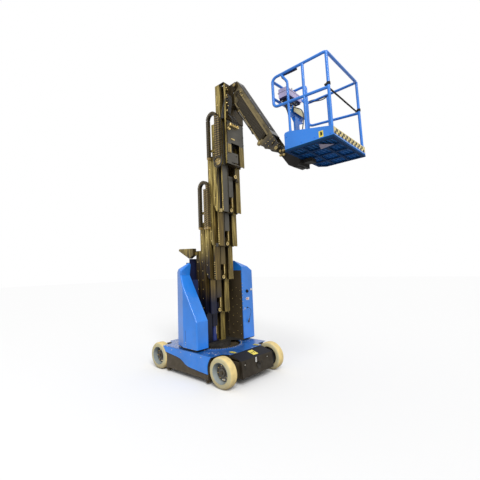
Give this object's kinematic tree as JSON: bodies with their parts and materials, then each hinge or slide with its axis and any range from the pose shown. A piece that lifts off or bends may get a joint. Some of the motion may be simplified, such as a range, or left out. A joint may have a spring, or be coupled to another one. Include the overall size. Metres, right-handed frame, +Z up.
{
  "type": "articulating boom lift",
  "caption": "Self-propelled mast boom lift: wheeled base, slewing turret with blue covers, telescoping mast, hinged jib and guarded work basket.",
  "frame": {"origin": "on the ground under the slew axis, midway between the axles", "axes": "+X toward the jib and basket, +Z up, +Y to the machine's right side"},
  "size_m": [3.573, 1.45, 5.0021],
  "materials": {
    "blue_paint": "gloss",
    "mast_bronze": "satin",
    "black_paint": "satin",
    "frame_brown": "satin",
    "cream_tyre": "matte",
    "rim_grey": "satin",
    "black_plastic": "matte",
    "lavender_case": "satin",
    "cylinder_paint": "satin",
    "rod_steel": "polished"
  },
  "bodies": {
    "base": {"chassis_frame": "frame_brown", "deck_plate": "blue_paint", "side_skirt_left": "blue_paint", "side_skirt_right": "blue_paint", "end_cover_front": "black_paint", "end_cover_rear": "black_paint", "slew_ring": "frame_brown"},
    "turret": {"turret_base": "black_paint", "cover_left": "blue_paint", "cover_right": "blue_paint", "inner_panel_left": "frame_brown", "inner_panel_right": "frame_brown", "power_pack": "blue_paint", "rear_bulkhead": "black_paint", "mast_section_0": "mast_bronze", "mast_cylinder": "cylinder_paint", "hose_guide": "mast_bronze", "plug_gland": "black_plastic", "plug_cable": "black_plastic", "plug": "black_plastic"},
    "mast_1": {"mast_section_1": "mast_bronze"},
    "mast_2": {"mast_section_2": "mast_bronze", "energy_chain_lower": "black_plastic"},
    "mast_3": {"mast_section_3": "mast_bronze"},
    "mast_4": {"mast_section_4": "mast_bronze", "energy_chain_upper": "black_plastic"},
    "mast_5": {"mast_section_5": "mast_bronze", "jib_head": "mast_bronze"},
    "jib": {"jib_beam": "mast_bronze", "jib_hose_chain": "black_plastic"},
    "jib_barrel": {"jib_cylinder_barrel": "cylinder_paint"},
    "jib_rod": {"jib_cylinder_rod": "rod_steel"},
    "basket": {"basket_carrier": "black_paint", "basket_floor": "blue_paint", "basket_kick_plates": "blue_paint", "basket_rails": "blue_paint", "console_bracket": "blue_paint", "control_box": "lavender_case"},
    "entry_bar": {"entry_bar": "black_paint"},
    "steer_left": {"knuckle_left": "frame_brown"},
    "steer_right": {"knuckle_right": "frame_brown"},
    "wheel_front_left": {"rim_front_left": "rim_grey", "tyre_front_left": "cream_tyre"},
    "wheel_front_right": {"rim_front_right": "rim_grey", "tyre_front_right": "cream_tyre"},
    "wheel_rear_left": {"rim_rear_left": "rim_grey", "tyre_rear_left": "cream_tyre"},
    "wheel_rear_right": {"rim_rear_right": "rim_grey", "tyre_rear_right": "cream_tyre"}
  },
  "joints": [
    {"name": "slew", "type": "hinge", "parent": "base", "child": "turret", "pos_m": [0, 0, 0.45], "axis": [0, 0, 1], "range_deg": [-172.5, 172.5]},
    {"name": "mast_slide_1", "type": "slide", "parent": "turret", "child": "mast_1", "axis": [0, 0, 1], "range_m": [-0.46, 0.45]},
    {"name": "mast_slide_2", "type": "slide", "parent": "mast_1", "child": "mast_2", "axis": [0, 0, 1], "range_m": [-0.46, 0.45]},
    {"name": "mast_slide_3", "type": "slide", "parent": "mast_2", "child": "mast_3", "axis": [0, 0, 1], "range_m": [-0.46, 0.45]},
    {"name": "mast_slide_4", "type": "slide", "parent": "mast_3", "child": "mast_4", "axis": [0, 0, 1], "range_m": [-0.46, 0.45]},
    {"name": "mast_slide_5", "type": "slide", "parent": "mast_4", "child": "mast_5", "axis": [0, 0, 1], "range_m": [-0.46, 0.45]},
    {"name": "jib_pivot", "type": "hinge", "parent": "mast_5", "child": "jib", "pos_m": [0.79, 0, 4.93], "axis": [0, -1, 0], "range_deg": [-5, 110]},
    {"name": "jib_barrel_pivot", "type": "hinge", "parent": "mast_5", "child": "jib_barrel", "pos_m": [0.712, 0, 4.6], "axis": [0, -1, 0], "range_deg": [-6, 110]},
    {"name": "jib_rod_slide", "type": "slide", "parent": "jib_barrel", "child": "jib_rod", "axis": [0.5152, 0, -0.8571], "range_m": [-0.04, 0.6]},
    {"name": "basket_level", "type": "hinge", "parent": "jib", "child": "basket", "pos_m": [1.545, 0, 3.555], "axis": [0, -1, 0], "range_deg": [-112, 7]},
    {"name": "entry_bar_slide", "type": "slide", "parent": "basket", "child": "entry_bar", "axis": [0, 0, 1], "range_m": [0, 0.33]},
    {"name": "steer_left", "type": "hinge", "parent": "base", "child": "steer_left", "pos_m": [0.75, -0.58, 0.225], "axis": [0, 0, 1], "range_deg": [-25, 25]},
    {"name": "steer_right", "type": "hinge", "parent": "base", "child": "steer_right", "pos_m": [0.75, 0.58, 0.225], "axis": [0, 0, 1], "range_deg": [-25, 25]},
    {"name": "wheel_front_left", "type": "hinge", "parent": "steer_left", "child": "wheel_front_left", "pos_m": [0.75, -0.615, 0.225], "axis": [0, 1, 0], "continuous": true},
    {"name": "wheel_front_right", "type": "hinge", "parent": "steer_right", "child": "wheel_front_right", "pos_m": [0.75, 0.615, 0.225], "axis": [0, 1, 0], "continuous": true},
    {"name": "wheel_rear_left", "type": "hinge", "parent": "base", "child": "wheel_rear_left", "pos_m": [-0.75, -0.615, 0.225], "axis": [0, 1, 0], "continuous": true},
    {"name": "wheel_rear_right", "type": "hinge", "parent": "base", "child": "wheel_rear_right", "pos_m": [-0.75, 0.615, 0.225], "axis": [0, 1, 0], "continuous": true}
  ],
  "couplings": [
    {"joint": "mast_slide_2", "follows": "mast_slide_1", "ratio": 1},
    {"joint": "mast_slide_3", "follows": "mast_slide_1", "ratio": 1},
    {"joint": "mast_slide_4", "follows": "mast_slide_1", "ratio": 1},
    {"joint": "mast_slide_5", "follows": "mast_slide_1", "ratio": 1},
    {"joint": "jib_barrel_pivot", "follows": "jib_pivot", "ratio": 0.97},
    {"joint": "jib_rod_slide", "follows": "jib_pivot", "m_per_rad": 0.287},
    {"joint": "basket_level", "follows": "jib_pivot", "ratio": -1},
    {"joint": "steer_right", "follows": "steer_left", "ratio": 1}
  ]
}
